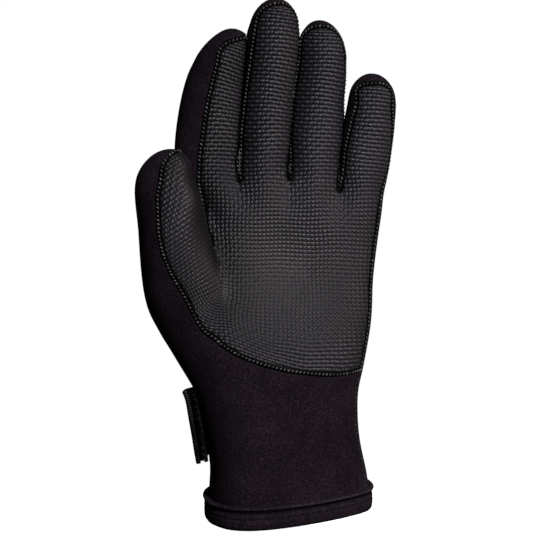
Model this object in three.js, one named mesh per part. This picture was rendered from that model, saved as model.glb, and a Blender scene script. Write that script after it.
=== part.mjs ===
// A left-hand neoprene glove in millimetres. The fingers point up (+Z), the palm faces the front (-Y)
// and the thumb is on the left (-X). The origin is the centre of the wrist opening.
import * as THREE from "three";

// Driving dimensions
const neopreneWall = 3;
const seamGap = 0.6; // between two panels that are sewn edge to edge
const fitGap = 0.35; // between the body and what is sewn onto it
const hemHeight = 10;
const hemThickness = 1.8;
const hemInside = 6; // how far the hem is folded up inside the cuff
const hemRise = 6; // from the lowest section of the body to the cut edge of the cuff
const weltHeight = 2.2;
const weltProud = 0.5; // how far the welt stands out of the hem
const weltGroove = 0.7; // depth of the groove under the welt
const edgeRound = 0.6; // rounding of the welt's edges
const foldRound = 1.2; // rounding of the hem's lower edge
const strapWidth = 36;
const strapThickness = 2.4;
const strapFoot = 26.5; // height of the strap's lower edge
const strapTop = strapFoot + strapWidth;
const tapeThickness = 1.7; // each half of the hook-and-loop tape
const tapeInset = 2.5; // from the strap's long edges to the tape's
const tapeGap = 0.15; // between the tape's halves and the strap

// Angles round the wrist: 0 is the right edge, -90 the back, -180 the left edge where the strap ends
const strapStart = -22;
const strapEnd = -186;
const hookStart = -150;
const hookEnd = -184;
const loopStart = -136;
const loopEnd = -192;

// How finely the surface is divided
const fingerColumns = 5;
const crotchColumns = 3;
const radialColumns = 5;
const wristRows = 7;
const thumbRows = 6; // palm rows beside the thumb's root
const knuckleRows = 4; // palm rows above the web of the thumb
const palmRows = thumbRows + knuckleRows;
const palmColumns = 4 * fingerColumns;
const strapColumns = 24;
const hookColumns = 8;
const loopColumns = 12;
const bandRows = 6; // rows between the two long edges of a strap or tape
const domeAngles = [24, 44, 61, 76]; // rings of a fingertip, up to the pole at 90
const poleAngle = 90;

const degrees = Math.PI / 180;
const mix = THREE.MathUtils.lerp;

// Sections of the wrist and palm. left and right are the outline from the front, mid is how far back the
// middle of the section lies, half is half its thickness, turn sets the right edge further back than the
// middle, bulge thickens the front towards the thumb's side, square is the roundness (2 is an ellipse)
// and lean lifts the back edge above the front one.
const bodySections = [
  { up: -6, left: -40.5, right: 40.2, mid: 6, half: 24.6, turn: 6, bulge: 0.44, square: 2.2, lean: 0.28 },
  { up: 8, left: -40.4, right: 40.2, mid: 6, half: 24.6, turn: 6, bulge: 0.42, square: 2.2, lean: 0.27 },
  { up: 21, left: -39.2, right: 38.2, mid: 5, half: 24.4, turn: 6.5, bulge: 0.34, square: 2.2, lean: 0.24 },
  { up: 34, left: -41.0, right: 35.6, mid: 3.5, half: 24.0, turn: 7.5, bulge: 0.24, square: 2.2, lean: 0.2 },
  { up: 48, left: -43.4, right: 34.6, mid: 2, half: 23.4, turn: 8.5, bulge: 0.15, square: 2.2, lean: 0.14 },
  { up: 61, left: -47.0, right: 35.0, mid: 1.5, half: 22.8, turn: 9, bulge: 0.07, square: 2.3, lean: 0.06 },
  { up: 75, left: -58.4, right: 38.0, mid: 1, half: 22.0, turn: 9, bulge: 0, square: 2.3, lean: 0 },
  { up: 96, left: -62.0, right: 41.5, mid: 2, half: 20.5, turn: 9, bulge: 0, square: 2.3, lean: 0 },
  { up: 116, left: -60.5, right: 42.4, mid: 3, half: 18.5, turn: 8, bulge: 0, square: 2.3, lean: 0 },
  { up: 136, left: -58.3, right: 44.7, mid: 3.5, half: 17.0, turn: 8, bulge: 0, square: 2.3, lean: 0 },
  { up: 156, left: -57.5, right: 47.7, mid: 3, half: 16.0, turn: 7, bulge: 0, square: 2.3, lean: 0 },
  { up: 170, left: -57.3, right: 50.2, mid: 2, half: 15.5, turn: 7, bulge: 0, square: 2.3, lean: 0 },
];

// Where the grip panel ends above the wrist, and its edge up the root of the thumb, seen from the front.
const bottomSeam = [
  { x: -42, z: 92 },
  { x: -37.2, z: 85.5 },
  { x: -24.8, z: 77.5 },
  { x: -8.5, z: 72 },
  { x: 9, z: 69 },
  { x: 26, z: 68.2 },
  { x: 37.4, z: 70 },
];
const thumbCrease = [
  { x: -42, z: 92 },
  { x: -37, z: 103 },
  { x: -34.5, z: 113 },
  { x: -35, z: 123 },
  { x: -38, z: 133.5 },
];
const indexSide = [
  { x: -38, z: 133.5 },
  { x: -42, z: 148 },
  { x: -45.5, z: 162 },
];
const palmCrotches = [
  { x: -45.5, z: 162 },
  { x: -24.6, z: 167.5 },
  { x: 0.2, z: 169 },
  { x: 25.2, z: 161.5 },
  { x: 48.5, z: 160.5 },
];
const backCrotches = [
  { x: -51, z: 158 },
  { x: -24.6, z: 161 },
  { x: 0.4, z: 162 },
  { x: 25.4, z: 155 },
  { x: 44, z: 154 },
];
const radialSeamAngle = 138; // on the wrist, under the root of the thumb
const ulnarSeamAngle = 12;
const ulnarBackAngle = -38;
const radialBackAngle = -150;
const backRootHeights = { radial: 79, ulnar: 71 };
const webHeight = 132; // of the thumb's web on the back

// Relief of the palm and of the knuckle line
const palmHollow = { x: 4, z: 122, wide: 24, high: 26, deep: 4 };
const thumbHollow = { x: -48, z: 148, wide: 13, high: 15, deep: 6.5 };
const crotchValley = { wide: 6.5, high: 14, front: 6, back: 4 };
const crotchDip = 1.5; // how far the web between two fingers hangs in its middle

// How the corners where the digits grow out of the palm are softened
const softening = { inward: 0.5, outward: -0.42 };
const thumbSoftening = { reach: 2, passes: 12 };
const fingerSoftening = { reach: 1, passes: 3 };
const clearOfStrap = 4; // the softening stays this far above the strap
const normalPasses = 4; // how often the wall's directions are evened
const sharpestCorner = 0.2; // sine of the sharpest corner of a panel
const digitSquare = 2.2; // roundness of the digits' sections

// Sections of the fingers. Each runs from its left to its right edge as seen from the front. mid is how
// far back its middle lies, half is half its thickness, and seamL and seamR are the angles of the grip
// panel's edges (0 is the right edge, 90 the front, 180 the left edge). rise is the length of the domed
// tip and pole turns the dome's end towards the front and the right.
const fingers = [
  {
    name: "index",
    sections: [
      { lx: -57.5, lz: 180, rx: -24.9, rz: 176, mid: -1.5, half: 13.6, turn: 2, seamL: 103, seamR: 28 },
      { lx: -56.2, lz: 193, rx: -24.6, rz: 187, mid: -2.5, half: 13.6, turn: 1, seamL: 100, seamR: 10 },
      { lx: -54.0, lz: 206, rx: -24.4, rz: 200, mid: -4.5, half: 13.3, turn: 0, seamL: 98, seamR: -11 },
      { lx: -50.7, lz: 218, rx: -23.5, rz: 212.5, mid: -7, half: 12.9, turn: 0, seamL: 96, seamR: -18 },
      { lx: -46.6, lz: 226.5, rx: -22.6, rz: 222, mid: -10, half: 12.4, turn: 0, seamL: 98, seamR: -20 },
    ],
    rise: 17,
    sway: 2.4,
    pole: { front: 38, right: 16 },
  },
  {
    name: "middle",
    sections: [
      { lx: -24.1, lz: 181, rx: 0.3, rz: 179, mid: 0, half: 13.2, turn: 1, seamL: 158, seamR: 2 },
      { lx: -24.0, lz: 195, rx: 0.5, rz: 193, mid: -1.5, half: 13.1, turn: 0, seamL: 151, seamR: 2 },
      { lx: -23.2, lz: 210, rx: 1.6, rz: 208, mid: -4.5, half: 12.9, turn: 0, seamL: 146, seamR: 2 },
      { lx: -21.9, lz: 225, rx: 3.4, rz: 223, mid: -8.5, half: 12.7, turn: 0, seamL: 142, seamR: 2 },
      { lx: -20.3, lz: 240, rx: 4.8, rz: 238.5, mid: -13, half: 12.2, turn: 0, seamL: 139, seamR: 8 },
    ],
    rise: 16.8,
    sway: 0.8,
    pole: { front: 28, right: 4 },
  },
  {
    name: "ring",
    sections: [
      { lx: 0.9, lz: 180, rx: 25.5, rz: 178.5, mid: 3, half: 13.2, turn: 2, seamL: 166, seamR: 9 },
      { lx: 1.1, lz: 194, rx: 26.8, rz: 192.5, mid: 2, half: 13.0, turn: 1, seamL: 164, seamR: 8 },
      { lx: 2.2, lz: 207, rx: 27.7, rz: 206, mid: -0.5, half: 12.7, turn: 0, seamL: 161, seamR: 8 },
      { lx: 4.0, lz: 219, rx: 28.6, rz: 218, mid: -4, half: 12.4, turn: 0, seamL: 160, seamR: 8 },
      { lx: 5.3, lz: 229.5, rx: 28.7, rz: 228.5, mid: -7.5, half: 12.0, turn: 0, seamL: 156, seamR: 16 },
    ],
    rise: 16.4,
    sway: -2.2,
    pole: { front: 32, right: 0 },
  },
  {
    name: "little",
    sections: [
      { lx: 26.0, lz: 173.5, rx: 50.2, rz: 170.5, mid: 7, half: 12.6, turn: 4, seamL: 152, seamR: 10 },
      { lx: 27.1, lz: 184.5, rx: 51.7, rz: 181.5, mid: 5, half: 12.2, turn: 3, seamL: 147, seamR: 12 },
      { lx: 28.2, lz: 195, rx: 53.0, rz: 192.5, mid: 2, half: 11.8, turn: 2, seamL: 141, seamR: 18 },
      { lx: 29.4, lz: 205, rx: 53.6, rz: 203, mid: -1.5, half: 11.6, turn: 1, seamL: 134, seamR: 30 },
    ],
    rise: 16,
    sway: -0.8,
    pole: { front: 44, right: 0 },
  },
];

// The thumb, in the same columns. Its lowest sections lie along the ball of the thumb.
const thumb = {
  name: "thumb",
  sections: [
    { lx: -67.0, lz: 90, rx: -40.6, rz: 144, mid: -10, half: 17, turn: -9, seamL: 99, seamR: -6 },
    { lx: -69.8, lz: 100, rx: -41.6, rz: 147.5, mid: -15, half: 16.6, turn: -7, seamL: 102, seamR: -18 },
    { lx: -72.2, lz: 109.5, rx: -42.5, rz: 151, mid: -20, half: 16, turn: -5, seamL: 105, seamR: -30 },
    { lx: -73.5, lz: 120.5, rx: -43.3, rz: 154, mid: -24.3, half: 15.3, turn: -3.5, seamL: 109, seamR: -38 },
    { lx: -74.3, lz: 132, rx: -44.1, rz: 157, mid: -27.5, half: 14.8, turn: -2, seamL: 112, seamR: -44 },
    { lx: -75.0, lz: 143, rx: -45.0, rz: 160, mid: -29, half: 14.2, turn: -1, seamL: 110, seamR: -48 },
    { lx: -76.2, lz: 154, rx: -46.4, rz: 163.5, mid: -30.5, half: 13.6, turn: 0, seamL: 106, seamR: -52 },
    { lx: -76.3, lz: 163, rx: -48.4, rz: 168, mid: -31.5, half: 12.8, turn: 0, seamL: 97, seamR: -62 },
  ],
  rise: 15.4,
  sway: 4,
  pole: { front: 6, right: 24 },
  // The angles at which its back begins and ends, near the palm and at the tip
  backNearPalm: { from: -48, to: -160 },
  backAtTip: { from: -124.8, to: -200.2 },
};

// A smooth curve through the rows of a table, read at any place between them
function curveThrough(places, values, place) {
  const last = places.length - 1;
  const at = THREE.MathUtils.clamp(place, places[0], places[last]);
  let i = 0;
  while (i < last - 1 && at > places[i + 1]) i += 1;
  const slope = (k) => {
    const before = Math.max(k - 1, 0);
    const after = Math.min(k + 1, last);
    return (values[after] - values[before]) / (places[after] - places[before]);
  };
  const span = places[i + 1] - places[i];
  const t = (at - places[i]) / span;
  const t2 = t * t;
  const t3 = t2 * t;
  return (
    values[i] * (2 * t3 - 3 * t2 + 1) +
    values[i + 1] * (3 * t2 - 2 * t3) +
    slope(i) * span * (t3 - 2 * t2 + t) +
    slope(i + 1) * span * (t3 - t2)
  );
}

function readTable(rows, places, place) {
  const read = {};
  for (const column of Object.keys(rows[0])) {
    if (typeof rows[0][column] !== "number") continue;
    read[column] = curveThrough(places, rows.map((row) => row[column]), place);
  }
  return read;
}

// A line through points of the front view, divided by its own length
function lineThrough(points) {
  const lengths = [0];
  for (let i = 1; i < points.length; i += 1) {
    lengths.push(lengths[i - 1] + Math.hypot(points[i].x - points[i - 1].x, points[i].z - points[i - 1].z));
  }
  return (share) => readTable(points, lengths, share * lengths[lengths.length - 1]);
}

// The rounded section's cosine and sine: 2 gives an ellipse, more gives squarer corners
function rounded(angle, square) {
  const c = Math.cos(angle * degrees);
  const s = Math.sin(angle * degrees);
  return {
    across: Math.sign(c) * Math.abs(c) ** (2 / square),
    forward: Math.sign(s) * Math.abs(s) ** (2 / square),
  };
}

const bodyHeights = bodySections.map((row) => row.up);
const bodySection = (height) => readTable(bodySections, bodyHeights, height);

function bodyPoint(angle, height) {
  const section = bodySection(height);
  const { across, forward } = rounded(angle, section.square);
  const x = (section.left + section.right) / 2 + ((section.right - section.left) / 2) * across;
  const thickness = section.half * (forward > 0 ? 1 - section.bulge * across : 1);
  const y = section.mid + section.turn * across - thickness * forward;
  return new THREE.Vector3(x, y, height + section.lean * y);
}

// The angle at which the body's section reaches x, on the front (side 1) or on the back (side -1)
function angleAt(x, height, side) {
  const section = bodySection(height);
  const middle = (section.left + section.right) / 2;
  const across = THREE.MathUtils.clamp((x - middle) / ((section.right - section.left) / 2), -1, 1);
  const c = Math.sign(across) * Math.abs(across) ** (section.square / 2);
  return (side * Math.acos(c)) / degrees;
}

// A grid between four edges in the front view
function sheetBetween(bottom, top, left, right) {
  return (u, v) => {
    const b = bottom(u);
    const t = top(u);
    const l = left(v);
    const r = right(v);
    const blend = (key) => {
      const corners =
        (1 - u) * (1 - v) * bottom(0)[key] +
        u * (1 - v) * bottom(1)[key] +
        (1 - u) * v * top(0)[key] +
        u * v * top(1)[key];
      return (1 - v) * b[key] + v * t[key] + (1 - u) * l[key] + u * r[key] - corners;
    };
    return { x: blend("x"), z: blend("z") };
  };
}

const webShare = thumbRows / palmRows;
const creaseLine = lineThrough(thumbCrease);
const indexSideLine = lineThrough(indexSide);

function crotchLine(crotches) {
  const spans = crotches.length - 1;
  return (u) => {
    const place = u * spans;
    const i = Math.min(Math.floor(place), spans - 1);
    return {
      x: mix(crotches[i].x, crotches[i + 1].x, place - i),
      z: mix(crotches[i].z, crotches[i + 1].z, place - i),
    };
  };
}

// The point of the front view where the body reaches an angle at a height
const edgePoint = (angle, height) => ({ x: bodyPoint(angle, height).x, z: height });
const ulnarFoot = edgePoint(ulnarSeamAngle, bottomSeam.at(-1).z);
const ulnarHead = edgePoint(ulnarSeamAngle, palmCrotches.at(-1).z);
const frontSheet = sheetBetween(
  lineThrough([...bottomSeam.slice(0, -1), ulnarFoot]),
  crotchLine([...palmCrotches.slice(0, -1), ulnarHead]),
  (v) => (v < webShare ? creaseLine(v / webShare) : indexSideLine((v - webShare) / (1 - webShare))),
  (v) => edgePoint(ulnarSeamAngle, mix(ulnarFoot.z, ulnarHead.z, v)),
);
const backFoot = {
  left: edgePoint(radialBackAngle, backRootHeights.radial),
  right: edgePoint(ulnarBackAngle, backRootHeights.ulnar),
};
const backHead = {
  left: edgePoint(radialBackAngle, backCrotches.at(0).z),
  right: edgePoint(ulnarBackAngle, backCrotches.at(-1).z),
};
const backSheet = sheetBetween(
  lineThrough([backFoot.left, backFoot.right]),
  crotchLine([backHead.left, ...backCrotches.slice(1, -1), backHead.right]),
  (v) => {
    const height =
      v < webShare
        ? mix(backFoot.left.z, webHeight, v / webShare)
        : mix(webHeight, backHead.left.z, (v - webShare) / (1 - webShare));
    return edgePoint(radialBackAngle, height);
  },
  (v) => edgePoint(ulnarBackAngle, mix(backFoot.right.z, backHead.right.z, v)),
);

// How far a point of the palm (side 1) or the back (side -1) is pushed into the hand
function relief(x, z, side) {
  let push = 0;
  for (const hollow of side > 0 ? [palmHollow, thumbHollow] : []) {
    const fromMiddle = ((x - hollow.x) / hollow.wide) ** 2 + ((z - hollow.z) / hollow.high) ** 2;
    push += hollow.deep * Math.exp(-fromMiddle);
  }
  const crotches = side > 0 ? palmCrotches : backCrotches;
  for (const crotch of crotches.slice(1, -1)) {
    const across = ((x - crotch.x) / crotchValley.wide) ** 2;
    const below = Math.max(crotch.z - z, 0) / crotchValley.high;
    push += (side > 0 ? crotchValley.front : crotchValley.back) * Math.exp(-across - below * below * 2);
  }
  return push;
}

function sheetPoint(place, side) {
  const point = bodyPoint(angleAt(place.x, place.z, side), place.z);
  point.y += side * relief(place.x, place.z, side);
  return point;
}

// The whole outer surface as a net of points and four-sided faces, each in the grip or the plain panel
const points = [];
const named = new Map();
const faces = [];

function pointAt(key, make) {
  if (!named.has(key)) {
    named.set(key, points.length);
    points.push(make());
  }
  return named.get(key);
}

// Faces between two rings of points, or between their first few columns
function addBand(lower, upper, panelOf, columns = lower.length) {
  for (let i = 0; i < columns; i += 1) {
    const next = (i + 1) % lower.length;
    const ring = [lower[i], lower[next], upper[next], upper[i]];
    faces.push({ ring, panel: panelOf(i) });
  }
}

// Points of the palm's front and back sheets and of its two narrow sides
const front = (c, r) =>
  pointAt(`front ${c} ${r}`, () => sheetPoint(frontSheet(c / palmColumns, r / palmRows), 1));
const back = (c, r) =>
  pointAt(`back ${c} ${r}`, () => sheetPoint(backSheet(1 - c / palmColumns, r / palmRows), -1));

// A point of a side, share of the way round it from one sheet's edge to the other's
function sidePoint(key, share, from, to, angleFrom, angleTo) {
  if (share === 0) return from;
  if (share === 1) return to;
  return pointAt(key, () =>
    bodyPoint(mix(angleFrom, angleTo, share), mix(points[from].z, points[to].z, share)),
  );
}

function ulnar(k, r) {
  const share = k / crotchColumns;
  const from = front(palmColumns, r);
  return sidePoint(`ulnar ${k} ${r}`, share, from, back(0, r), ulnarSeamAngle, ulnarBackAngle);
}

function radial(k, r) {
  const share = k / radialColumns;
  const edge = points[front(0, r)];
  const seam = angleAt(edge.x, edge.z, 1) - 360;
  return sidePoint(`radial ${k} ${r}`, share, back(palmColumns, r), front(0, r), radialBackAngle, seam);
}

function palmRing(r) {
  const ring = [];
  for (let c = 0; c < palmColumns; c += 1) ring.push(front(c, r));
  for (let k = 0; k < crotchColumns; k += 1) ring.push(ulnar(k, r));
  for (let c = 0; c < palmColumns; c += 1) ring.push(back(c, r));
  for (let k = 0; k < radialColumns; k += 1) ring.push(radial(k, r));
  return ring;
}

// The wrist: rings that pass from an even spacing at the hem to the spacing of the palm's first row
const firstRing = palmRing(0);
const cuffFoot = bodySections[0].up + hemRise;

// Angles round the wrist for a ring whose front begins at a given angle
function anglesFrom(frontStart) {
  const angles = [];
  const addPart = (columns, from, to) => {
    for (let i = 0; i < columns; i += 1) angles.push(mix(from, to, i / columns));
  };
  addPart(palmColumns, frontStart, ulnarSeamAngle);
  addPart(crotchColumns, ulnarSeamAngle, ulnarBackAngle);
  addPart(palmColumns, ulnarBackAngle, radialBackAngle);
  addPart(radialColumns, radialBackAngle, frontStart - 360);
  return angles;
}

const hemAngles = anglesFrom(radialSeamAngle);
const rootAngle = angleAt(points[firstRing[0]].x, points[firstRing[0]].z, 1);
const seamAngles = anglesFrom(rootAngle).map((angle, i) => {
  const point = points[firstRing[i]];
  const isFront = i < palmColumns;
  const isBack = i >= palmColumns + crotchColumns && i < 2 * palmColumns + crotchColumns;
  if (isFront) return angleAt(point.x, point.z, 1);
  return isBack ? angleAt(point.x, point.z, -1) : angle;
});

function wristRing(r) {
  if (r === wristRows) return firstRing;
  const share = r / wristRows;
  const ease = share * share * (3 - 2 * share);
  return firstRing.map((top, i) =>
    pointAt(`wrist ${i} ${r}`, () => {
      const height = mix(cuffFoot, points[top].z, share);
      return bodyPoint(mix(hemAngles[i], seamAngles[i], ease), height);
    }),
  );
}

for (let r = 0; r < wristRows; r += 1) addBand(wristRing(r), wristRing(r + 1), () => "plain");

// The palm, open on the left where the thumb grows out of it
for (let r = 0; r < palmRows; r += 1) {
  const lower = palmRing(r);
  const columns = r < thumbRows ? lower.length - radialColumns : lower.length;
  addBand(lower, palmRing(r + 1), (i) => (i < palmColumns ? "grip" : "plain"), columns);
}

// A finger's points: the front strip, one side, the back strip and the other side, then round again
function digitRing(digit, place, columns) {
  const rows = digit.sections;
  const last = rows.length - 1;
  const section = readTable(rows, rows.map((_, i) => i), Math.min(place, last));
  const seamLeft = section.seamL;
  const seamRight = section.seamR;
  let backSpan = evenBack(seamLeft, seamRight, columns);
  if (digit.backNearPalm) {
    backSpan = {
      from: mix(digit.backNearPalm.from, digit.backAtTip.from, place / last),
      to: mix(digit.backNearPalm.to, digit.backAtTip.to, place / last),
    };
  }
  return ringAngles(seamLeft, seamRight, backSpan, columns).map((angle) => digitPoint(section, angle));
}

function evenBack(seamLeft, seamRight, columns) {
  const step = (360 - (seamLeft - seamRight)) / (columns.right + columns.back + columns.left);
  const from = seamRight - step * columns.right;
  return { from, to: from - step * columns.back };
}

function ringAngles(seamLeft, seamRight, backSpan, columns) {
  const cornerRight = backSpan.from;
  const cornerLeft = backSpan.to;
  const angles = [];
  for (let i = 0; i < columns.front; i += 1) angles.push(mix(seamLeft, seamRight, i / columns.front));
  for (let i = 0; i < columns.right; i += 1) angles.push(mix(seamRight, cornerRight, i / columns.right));
  for (let i = 0; i < columns.back; i += 1) angles.push(mix(cornerRight, cornerLeft, i / columns.back));
  for (let i = 0; i < columns.left; i += 1) angles.push(mix(cornerLeft, seamLeft - 360, i / columns.left));
  return angles;
}

function digitPoint(section, angle) {
  const { across, forward } = rounded(angle, digitSquare);
  const along = (across + 1) / 2;
  return new THREE.Vector3(
    mix(section.lx, section.rx, along),
    section.mid + section.turn * across - section.half * forward,
    mix(section.lz, section.rz, along),
  );
}

const sectionMiddle = (row) => new THREE.Vector3((row.lx + row.rx) / 2, row.mid, (row.lz + row.rz) / 2);

// One ring of the domed tip. level is 0 at the last section and 90 at the pole.
function domeRing(digit, level, columns) {
  const end = digit.sections.at(-1);
  const across = new THREE.Vector3(end.rx - end.lx, 0, end.rz - end.lz).multiplyScalar(0.5);
  const centre = sectionMiddle(end);
  const centreBefore = sectionMiddle(digit.sections.at(-2));
  const forward = new THREE.Vector3(0, -end.half, 0);
  const outward = new THREE.Vector3(-across.z, 0, across.x).normalize().multiplyScalar(digit.rise);
  const bend = (end.mid - centreBefore.y) / centre.distanceTo(centreBefore);
  outward.y += bend * digit.rise;
  outward.x += digit.sway;
  const share = level / poleAngle;
  const ease = share * share * (3 - 2 * share);
  const turn = new THREE.Quaternion().setFromEuler(
    new THREE.Euler(digit.pole.front * ease * degrees, digit.pole.right * ease * degrees, 0, "YXZ"),
  );
  const middle = (end.seamL + end.seamR) / 2;
  const halfSpan = mix((end.seamL - end.seamR) / 2, 90, share);
  const seamLeft = middle + halfSpan;
  const seamRight = middle - halfSpan;
  const backSpan = evenBack(seamLeft, seamRight, columns);
  return ringAngles(seamLeft, seamRight, backSpan, columns).map((angle) => {
    const { across: a, forward: f } = rounded(angle, mix(digitSquare, 2, share));
    const flat = Math.cos(level * degrees);
    // In the dome's own frame x is across, z is outward and y is forward turned to the back
    const onDome = new THREE.Vector3(a * flat, -f * flat, Math.sin(level * degrees)).applyQuaternion(turn);
    return centre
      .clone()
      .addScaledVector(across, onDome.x)
      .addScaledVector(forward, -onDome.y)
      .addScaledVector(outward, onDome.z);
  });
}

function addDigit(digit, root, columns, rowsPerSection) {
  const panelOf = (i) => (i < columns.front ? "grip" : "plain");
  const steps = (digit.sections.length - 1) * rowsPerSection;
  let lower = root;
  const addRing = (ringPoints, label) => {
    const upper = ringPoints.map((point, i) => pointAt(`${digit.name} ${label} ${i}`, () => point));
    addBand(lower, upper, panelOf);
    lower = upper;
  };
  const first = digitRing(digit, 0, columns);
  addRing(first.map((point, i) => points[root[i]].clone().lerp(point, 0.5)), "root");
  for (let j = 0; j <= steps; j += 1) addRing(digitRing(digit, j / rowsPerSection, columns), j);
  for (const level of domeAngles) addRing(domeRing(digit, level, columns), `dome ${level}`);
  const pole = pointAt(`${digit.name} pole`, () => domeRing(digit, poleAngle, columns)[0]);
  lower.forEach((index, i) => {
    faces.push({ ring: [index, lower[(i + 1) % lower.length], pole], panel: panelOf(i) });
  });
}

// The four fingers grow from the palm's last row, with a short line from front to back in each crotch
function crotch(k, i) {
  const from = front(k * fingerColumns, palmRows);
  const to = back(palmColumns - k * fingerColumns, palmRows);
  if (i === 0) return from;
  if (i === crotchColumns) return to;
  return pointAt(`crotch ${k} ${i}`, () => {
    const share = i / crotchColumns;
    const point = points[from].clone().lerp(points[to], share);
    point.z -= crotchDip * Math.sin(Math.PI * share);
    return point;
  });
}

fingers.forEach((finger, k) => {
  const isFirst = k === 0;
  const isLast = k === fingers.length - 1;
  const left = isFirst ? radialColumns : crotchColumns;
  const root = [];
  for (let i = 0; i < fingerColumns; i += 1) root.push(front(k * fingerColumns + i, palmRows));
  for (let i = 0; i < crotchColumns; i += 1) root.push(isLast ? ulnar(i, palmRows) : crotch(k + 1, i));
  const backStart = palmColumns - (k + 1) * fingerColumns;
  for (let i = 0; i < fingerColumns; i += 1) root.push(back(backStart + i, palmRows));
  for (let i = 0; i < left; i += 1) root.push(isFirst ? radial(i, palmRows) : crotch(k, crotchColumns - i));
  addDigit(finger, root, { front: fingerColumns, right: crotchColumns, back: fingerColumns, left }, 2);
});

// The thumb grows from the opening in the palm's left side
const thumbRoot = [];
for (let r = 0; r < thumbRows; r += 1) thumbRoot.push(front(0, r));
for (let k = 0; k < radialColumns; k += 1) thumbRoot.push(radial(radialColumns - k, thumbRows));
for (let r = thumbRows; r > 0; r -= 1) thumbRoot.push(back(palmColumns, r));
for (let k = 0; k < radialColumns; k += 1) thumbRoot.push(radial(k, 0));
const thumbColumns = { front: thumbRows, right: radialColumns, back: thumbRows, left: radialColumns };
addDigit(thumb, thumbRoot, thumbColumns, 1);

// Soften the places where the digits join the palm
const neighbours = points.map(() => new Set());
for (const { ring } of faces) {
  ring.forEach((index, i) => {
    neighbours[index].add(ring[(i + 1) % ring.length]);
    neighbours[ring[(i + 1) % ring.length]].add(index);
  });
}

function soften(chosen, strength) {
  const moved = chosen.map((index) => {
    const middle = new THREE.Vector3();
    for (const other of neighbours[index]) middle.add(points[other]);
    middle.divideScalar(neighbours[index].size);
    return points[index].clone().lerp(middle, strength);
  });
  chosen.forEach((index, i) => points[index].copy(moved[i]));
}

// Each pass smooths and then swells a little less, so that the shape keeps its size
function softenAround(start, { reach, passes }) {
  const chosen = new Set(start);
  for (let spread = 0; spread < reach; spread += 1) {
    for (const index of [...chosen]) for (const other of neighbours[index]) chosen.add(other);
  }
  const free = [...chosen].filter((index) => points[index].z > strapTop + clearOfStrap);
  for (let pass = 0; pass < passes; pass += 1) {
    soften(free, softening.inward);
    soften(free, softening.outward);
  }
}

const keysLike = (pattern) => [...named].filter(([key]) => pattern.test(key)).map(([, index]) => index);
const fingerRoots = keysLike(/^(index|middle|ring|little) root|^crotch/);
softenAround(thumbRoot, thumbSoftening);
softenAround(fingerRoots, fingerSoftening);

// Outward direction at each point of the net
const outward = points.map(() => new THREE.Vector3());
for (const { ring } of faces) {
  const [a, b, c] = ring.map((index) => points[index]);
  const d = points[ring[3] ?? ring[2]];
  const normal = new THREE.Vector3().crossVectors(c.clone().sub(a), d.clone().sub(b));
  if (ring.length === 3) normal.crossVectors(b.clone().sub(a), c.clone().sub(a));
  for (const index of ring) outward[index].add(normal);
}
outward.forEach((direction) => direction.normalize());

// The wall is laid along directions that turn evenly from point to point
for (let pass = 0; pass < normalPasses; pass += 1) {
  const evened = outward.map((direction, index) => {
    const sum = direction.clone().multiplyScalar(2);
    for (const other of neighbours[index]) sum.addScaledVector(outward[other], 1 / neighbours[index].size);
    return sum.normalize();
  });
  evened.forEach((direction, index) => outward[index].copy(direction));
}

const hemRow = new Set(keysLike(/^wrist \d+ 0$/));

// A panel as a closed wall: its outer faces, the same faces one wall further in, and its cut edges.
// The points on a cut edge are drawn back by half the seam gap.
function panelGeometry(panel) {
  const mine = faces.filter((face) => face.panel === panel).map((face) => face.ring);
  const edges = new Map();
  const pull = new Map();
  for (const ring of mine) {
    const middle = new THREE.Vector3();
    for (const index of ring) middle.add(points[index]);
    middle.divideScalar(ring.length);
    ring.forEach((index, i) => {
      const next = ring[(i + 1) % ring.length];
      if (!edges.delete(`${next} ${index}`)) edges.set(`${index} ${next}`, [index, next]);
      const towards = middle.clone().sub(points[index]);
      pull.set(index, (pull.get(index) ?? new THREE.Vector3()).add(towards));
    });
  }
  const beside = new Map();
  for (const [from, to] of edges.values()) {
    beside.set(from, [...(beside.get(from) ?? []), to]);
    beside.set(to, [...(beside.get(to) ?? []), from]);
  }
  const outer = new Map();
  const vertices = [];
  const put = (point) => {
    vertices.push(point.x, point.y, point.z);
    return vertices.length / 3 - 1;
  };
  for (const index of new Set(mine.flat())) {
    const point = points[index].clone();
    if (beside.has(index) && !hemRow.has(index)) {
      const inPlane = pull.get(index).clone().projectOnPlane(outward[index]).normalize();
      // A sharp corner is drawn back further, to leave the same gap along both of its edges
      const sines = beside.get(index).map((other) => {
        const edge = points[other].clone().sub(points[index]).normalize();
        return edge.cross(inPlane).length();
      });
      const sharpness = Math.max(Math.min(...sines), sharpestCorner);
      point.addScaledVector(inPlane, seamGap / 2 / sharpness);
    }
    const inner = point.clone().addScaledVector(outward[index], -neopreneWall);
    outer.set(index, { out: put(point), in: put(inner) });
  }
  const triangles = [];
  const addFace = (corners) => {
    for (let i = 1; i + 1 < corners.length; i += 1) triangles.push(corners[0], corners[i], corners[i + 1]);
  };
  for (const ring of mine) {
    addFace(ring.map((index) => outer.get(index).out));
    addFace([ring[0], ...ring.slice(1).reverse()].map((index) => outer.get(index).in));
  }
  // Both panels split the wall of a shared edge along the same diagonal, so that they can't cross
  for (const [from, to] of edges.values()) {
    const a = outer.get(from);
    const b = outer.get(to);
    addFace(from < to ? [a.out, a.in, b.in, b.out] : [b.out, a.out, a.in, b.in]);
  }
  const geometry = new THREE.BufferGeometry();
  geometry.setAttribute("position", new THREE.Float32BufferAttribute(vertices, 3));
  geometry.setIndex(triangles);
  geometry.computeVertexNormals();
  return geometry;
}

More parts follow.
